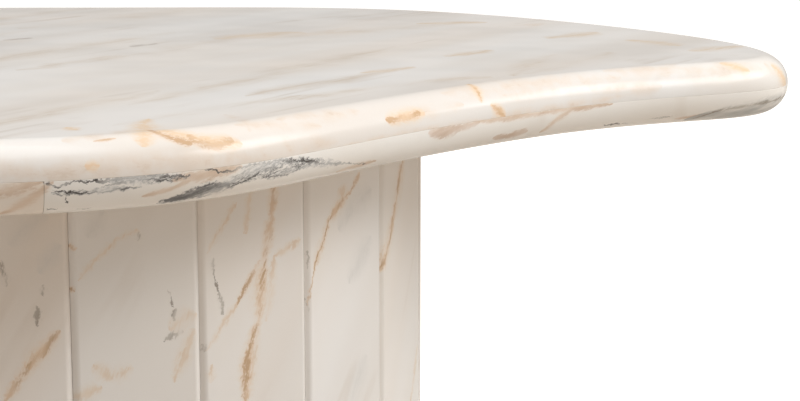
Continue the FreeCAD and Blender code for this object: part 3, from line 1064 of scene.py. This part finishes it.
# %% Veins by lot
LOT_RANGES = {
    "lean": (-0.10, 0.60), "height": (10, 365), "height stray": (-8, 8), "aside": (-25, 25),
    "aside stray": (-6, 6), "boldness": (0.5, 1.5), "loose aside": (-40, 25), "loose height": (20, 300),
    "loose run": (10, 45), "loose rise": (35, 130), "loose width": (3, 8), "rust width": (2.5, 5),
    "honey width": (5, 11),
}
MIDDLE_HEIGHT = 190
PATH_POINTS = 6
LOOSE_COUNT = 4
SPECK_WIDTH_SHARE, CLOUD_WIDTH_SHARE = 0.4, 2.5
lot = np.random.default_rng(26)


def drawn(name, count=None):
    """One number or several by lot, even over a named range, in millimetres where it is a length."""
    return lot.uniform(*LOT_RANGES[name], count)


def veins_by_lot():
    """Veins of a stave by lot: one path up the face, bold or faint, whole or in part, and loose streaks."""
    lean = drawn("lean")
    low, high = np.sort(drawn("height", 2))
    height = np.linspace(low, high, PATH_POINTS) + drawn("height stray", PATH_POINTS)
    aside = drawn("aside") + (height - MIDDLE_HEIGHT) * lean + drawn("aside stray", PATH_POINTS)
    path = np.stack((aside, height), axis=-1)
    boldness = drawn("boldness")
    start = np.stack((drawn("loose aside", LOOSE_COUNT), drawn("loose height", LOOSE_COUNT)), axis=-1)
    run = np.stack((drawn("loose run", LOOSE_COUNT), drawn("loose rise", LOOSE_COUNT)), axis=-1)
    loose = np.column_stack((start, start + run, drawn("loose width", LOOSE_COUNT)))
    return {
        "rust": rows_between(path, drawn("rust width", PATH_POINTS - 1) * boldness),
        "honey": np.concatenate((rows_between(path[1:4], drawn("honey width", 2)), loose)),
        "speck": loose[:2] * (1, 1, 1, 1, SPECK_WIDTH_SHARE),
        "cloud": loose[2:] * (1, 1, 1, 1, CLOUD_WIDTH_SHARE),
    }


def store_veins(stave, k, rows):
    """Writes, on every point of a stave, where it lies along and aside of each vein, and the width."""
    block = np.empty(len(stave.data.vertices) * 3, np.float32)
    stave.data.attributes["block"].data.foreach_get("vector", block)
    face = block.reshape(-1, 3)[:, :2] - (k * BENCH_STEP, 0)
    for kind, slots in VEIN_SLOTS.items():
        kept = rows.get(kind, ())
        for slot in range(slots):
            start, ahead, sideways, half_width = streak_frame(kept[slot] if slot < len(kept) else NO_VEIN)
            along, aside = (face - start) @ ahead, (face - start) @ sideways
            vectors = np.stack((along, aside, np.full_like(along, half_width)), axis=-1)
            give_vectors(stave, f"{kind}_{slot}", vectors)


for k, stave in enumerate(staves):
    by_lot = veins_by_lot()
    store_veins(stave, k, PLACED_VEINS.get(k + 1, by_lot))
print("stave veins:", sum(VEIN_SLOTS.values()), "places for one on each of", len(staves), "staves")

# %% [markdown]
# ## Marble of the staves
# The base is the palest of the stone, with grey clouds, honey stains, dark specks and rust lines that
# climb the face. One material reads the stored veins of whichever stave it is on, and lays them kind
# by kind, the faintest first, so that the rust stays on top.

# %% Stave marble
STAVE_GRAIN_TURN = math.radians(70)
STAVE_LOOKS = {
    "cloud": (0.8, 0.80, (0.64, 0.62, 0.59), 0.42, (0.56, 0.53, 0.49), 0.10),
    "honey": (0.9, 0.52, (0.80, 0.63, 0.46), 0.52, (0.66, 0.46, 0.29), 0.40),
    "speck": (1.0, 0.44, (0.56, 0.51, 0.45), 0.38, (0.20, 0.16, 0.12), 0.70),
    "rust": (0.9, 0.50, (0.78, 0.57, 0.39), 0.85, (0.45, 0.28, 0.15), 0.70),
}


def stored_streaks(tree, kind, stray):
    """The strongest of the streaks of one kind that this stave's mesh holds."""
    masks = []
    for slot in range(VEIN_SLOTS[kind]):
        parts = split(stored_vector(tree, f"{kind}_{slot}"))
        values = {"Along": parts["X"], "Aside": parts["Y"], "Half Width": parts["Z"], "Stray": stray}
        masks.append(use_group(streak_group, **values)["Mask"])
    return strongest(masks)


stave_marble, tree, shader = new_finish("stave_marble")
place = stored_vector(tree, "block")
fibres = along_grain(place, STAVE_GRAIN_TURN, 0.22)
stray = jagged(place, wandering(place, 0.35))
coming_and_going = ramp(noise(place, 48.0), 0.38, 0.62, 0.72, 1.0)
body = use_group(body_group, Place=place, Bands=0.20, Blush=0.25)
colour = body["Colour"]
for kind, look in STAVE_LOOKS.items():
    mask = times(stored_streaks(tree, kind, stray), coming_and_going)
    colour = vein(colour, fibres, mask, look)
polish(shader, colour, place, body["Crystal"])
for stave in staves:
    stave.data.materials.append(stave_marble)
print("stave marble:", len(tree.nodes), "nodes")

# %% [markdown]
# ## What is hidden
# Lift the top off and the carcass shows: plywood, pine posts, plated steel, soft bumpers and nylon
# feet. Their solids are right as they are, so they only get finishes, on object coordinates:
# veneers in layers, grain along the posts, a spangle of zinc, and the fine bite of moulded plastic.

# %% Hidden finishes
VENEER = 0.0015
GROWTH_RING = 0.003
PLY_NAP, PINE_NAP, SCRATCH_DEPTH, BITE_DEPTH = 0.0004, 0.0003, 0.0001, 0.0002


def new_solid_finish(name):
    """A material for solids, its shader's inputs, and where a point lies on the object, in metres."""
    material, tree, shader = new_finish(name)
    return material, shader, add_node("ShaderNodeTexCoord", {}, tree).outputs["Object"]


def stretched_noise(place, scales, detail, roughness=0.55):
    """Noise with its own number of clouds to the metre along each axis."""
    return noise(vector_calc("MULTIPLY", place, scales), 1.0, detail, roughness)


def plywood_finish():
    """Birch ply: long grain on the faces, and veneers in turn light and dark by height."""
    material, shader, place = new_solid_finish("birch_plywood")
    grain = stretched_noise(place, (3, 70, 70), 5.0, 0.6)
    veneer = calc("PINGPONG", times(split(place)["Z"], 1 / VENEER), 1.0)
    colour = tint(ramp(grain, 0.35, 0.70), (0.66, 0.50, 0.32), (0.50, 0.35, 0.20))
    colour = tint(ramp(veneer, 0.42, 0.58, 0.0, 0.55), colour, (0.40, 0.26, 0.14))
    gloss = ramp(grain, 0.3, 0.7, 0.55, 0.75)
    link_finish(shader, colour, gloss, grain, 0.2, PLY_NAP)
    return material


def timber_finish():
    """Planed pine: rings stretched along the post into dark and light lines."""
    material, shader, place = new_solid_finish("planed_pine")
    wobble = times(stretched_noise(place, (20, 20, 3), 3.0), 6.0)
    rings = calc("MULTIPLY_ADD", split(place)["X"], 1 / GROWTH_RING, wobble)
    fibre = stretched_noise(place, (600, 600, 12), 3.0)
    colour = ramp(calc("PINGPONG", rings, 1.0), 0.55, 1.0)
    colour = tint(colour, (0.74, 0.58, 0.37), (0.58, 0.36, 0.17))
    colour = tint(ramp(fibre, 0.4, 0.7, 0.0, 0.25), colour, (0.45, 0.29, 0.15))
    gloss = ramp(fibre, 0.3, 0.7, 0.5, 0.7)
    link_finish(shader, colour, gloss, fibre, 0.2, PINE_NAP)
    return material


def steel_finish():
    """Zinc-plated steel: a grey spangle with faint scratches in the gloss."""
    material, shader, place = new_solid_finish("zinc_plated_steel")
    shader["Metallic"].default_value = 1.0
    spangle = ramp(noise(place, 260.0), 0.35, 0.65)
    scratch = stretched_noise(place, (900, 900, 60), 2.0)
    colour = tint(spangle, (0.56, 0.57, 0.59), (0.72, 0.72, 0.71))
    gloss = ramp(scratch, 0.3, 0.7, 0.24, 0.44)
    link_finish(shader, colour, gloss, scratch, 0.1, SCRATCH_DEPTH)
    return material


def moulded_finish(name, dark, light, roughness):
    """Moulded plastic or rubber: a fine bite, with a few paler scuffs."""
    material, shader, place = new_solid_finish(name)
    scuff = ramp(noise(place, 130.0, 4.0, 0.65), 0.56, 0.72)
    gloss = ramp(scuff, 0.0, 1.0, roughness, roughness + 0.2)
    bite = noise(place, 1800.0, 2.0)
    link_finish(shader, tint(scuff, dark, light), gloss, bite, 0.25, BITE_DEPTH)
    return material


print("hidden finishes: veneers of", VENEER, "m, growth rings of", GROWTH_RING, "m")

# %% Dressing the solids
def dress(material, names):
    """Gives a finish to solids of the frame."""
    for name in names:
        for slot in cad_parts[name].material_slots:
            slot.material = material
    print(material.name, "on", len(names), "solids")


def numbered(name, count):
    """A name with 1, 2 and so on set behind it."""
    return [f"{name}_{k}" for k in range(1, count + 1)]


dress(plywood_finish(), ["backing_board", "top_former", "middle_former", "bottom_former"])
dress(timber_finish(), numbered("core_post", 6))
dress(steel_finish(), ["carcass_screws", "locating_pins", "foot_inserts"] + numbered("foot_stud", 4))
dress(moulded_finish("soft_rubber", (0.52, 0.52, 0.50), (0.66, 0.66, 0.64), 0.45), ["top_bumpers"])
dress(moulded_finish("black_nylon", (0.03, 0.03, 0.03), (0.10, 0.10, 0.10), 0.40), numbered("foot_pad", 4))

# %% [markdown]
# ## Floor and light
# A window of light stands on the right. It draws the long highlights on the edge of the top, and the
# staves that face it brighten towards the floor, below the shadow of the top. A wider light beside it
# only adds to that brightness and is not mirrored. Soft lights above keep the top and its edge white.
# A bright picture all round could light the scene too, but lamps are easier to move one at a time.

# %% Floor
FLOOR_HALF = 30.0
FLOOR_TONE = (0.58, 0.52, 0.455, 1)
FLOOR_GLOW = 0.85


def seen_by_camera(tree):
    """One where the camera looks straight at a surface, and nothing for light on its way."""
    return add_node("ShaderNodeLightPath", {}, tree).outputs["Is Camera Ray"]


corners = FLOOR_HALF * np.array(((-1, -1, 0), (1, -1, 0), (1, 1, 0), (-1, 1, 0)))
floor = make_piece("floor", corners, [[0, 1, 2, 3]])
floor_paint, tree, shader = new_finish("floor_paint")
shader["Base Color"].default_value = FLOOR_TONE
shader["Roughness"].default_value = 0.9
shader["Emission Color"].default_value = (1, 1, 1, 1)
link(times(seen_by_camera(tree), FLOOR_GLOW), shader["Emission Strength"])
floor.data.materials.append(floor_paint)
print("floor:", 2 * FLOOR_HALF, "m square")

# %% Light
# Each light has a name, a place, a target, a width and a height, a power, a tone, and whether it is
# mirrored in polish.
LIGHTS = (
    ("window", (2.82, -0.22, 2.03), (0.4, -0.22, 0.4), (1.75, 0.95), 18, (0.97, 0.985, 1.0), True),
    ("side_light", (2.8, 0.1, 2.03), (0.3, -0.1, 0.4), (3.2, 1.1), 65, (0.93, 0.97, 1.0), False),
    ("front_light", (-0.3, -1.8, 2.8), (0.1, -0.2, 0.4), (2.0, 1.5), 7, (1, 0.99, 0.98), True),
    ("overhead_light", (-0.5, -0.5, 3.0), (0.0, -0.1, 0.4), (3.0, 2.4), 46, (1, 0.99, 0.98), True),
)
SKY_TONE = (1.0, 0.97, 0.94, 1)
SKY_LIGHT, SKY_GLOW = 0.36, 0.70


def softbox(name, place, target, size, power, tone, mirrored):
    """A soft rectangular light at a place, turned to face a target, and seen in polish or not."""
    lamp = bpy.data.lights.new(name, "AREA")
    lamp.shape = "RECTANGLE"
    lamp.size, lamp.size_y = size
    lamp.energy = power
    lamp.color = tone
    stand = bpy.data.objects.new(name, lamp)
    x, y, z = np.array(target) - np.array(place)
    stand.location = place
    stand.rotation_euler = (math.atan2(math.hypot(x, y), -z), 0, math.atan2(-x, y))
    stand.visible_glossy = mirrored
    bpy.context.scene.collection.objects.link(stand)


for light in LIGHTS:
    softbox(*light)
world = bpy.data.worlds.new("studio")
world.use_nodes = True
tree = world.node_tree
sky = tree.nodes["Background"].inputs
sky["Color"].default_value = SKY_TONE
link(calc("MULTIPLY_ADD", seen_by_camera(tree), SKY_GLOW, SKY_LIGHT), sky["Strength"])
bpy.context.scene.world = world
bpy.context.scene.view_settings.view_transform = "Standard"
print("lights:", [name for name, *_ in LIGHTS])
